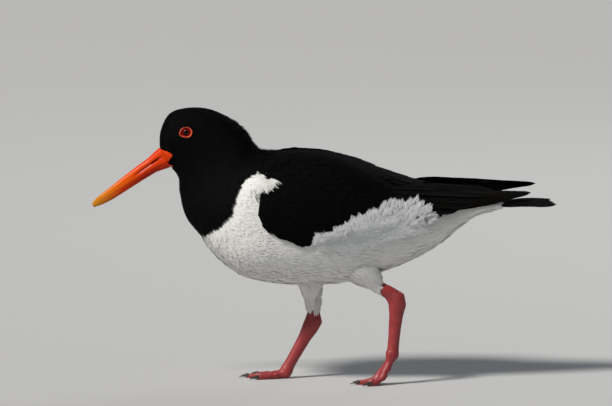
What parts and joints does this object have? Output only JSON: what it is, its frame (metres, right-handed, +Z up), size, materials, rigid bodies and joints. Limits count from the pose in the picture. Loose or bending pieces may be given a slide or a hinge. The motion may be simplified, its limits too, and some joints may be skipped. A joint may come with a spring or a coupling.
{
  "type": "oystercatcher",
  "caption": "Life-size still model of a wading shorebird with a long straight bill, folded wings and bare legs, standing on its own feet.",
  "frame": {"origin": "centre of the bounding box at floor level, where the feet rest", "axes": "+Z up, the bird faces -X, its left side is -Y"},
  "size_m": [0.4087, 0.1112, 0.2426],
  "materials": {
    "black_feather": "soft black feathering with a faint sheen",
    "white_feather": "matte white down and body feathers",
    "flight_feather": "smooth brownish black vanes",
    "bill_horn": "smooth horn, orange red at the root to amber at the tip",
    "eye": "wet gloss, deep red iris and black pupil",
    "eyelid": "bare orange red skin, slightly moist",
    "leg_skin": "scaly pink red skin, satin",
    "claw": "dark horn"
  },
  "bodies": {
    "root": {"head": "black_feather", "neck": "black_feather", "torso": "white_feather", "rump": "white_feather", "mantle": "black_feather", "tail": "flight_feather", "bill_upper": "bill_horn", "bill_lower": "bill_horn", "eye_left": "eye", "eyelids_left": "eyelid", "wing_left": "flight_feather", "thigh_left": "white_feather", "shank_left": "leg_skin", "foot_left": "leg_skin", "claw_left_inner": "claw", "claw_left_middle": "claw", "claw_left_outer": "claw", "eye_right": "eye", "eyelids_right": "eyelid", "wing_right": "flight_feather", "thigh_right": "white_feather", "shank_right": "leg_skin", "foot_right": "leg_skin", "claw_right_inner": "claw", "claw_right_middle": "claw", "claw_right_outer": "claw"}
  },
  "joints": []
}
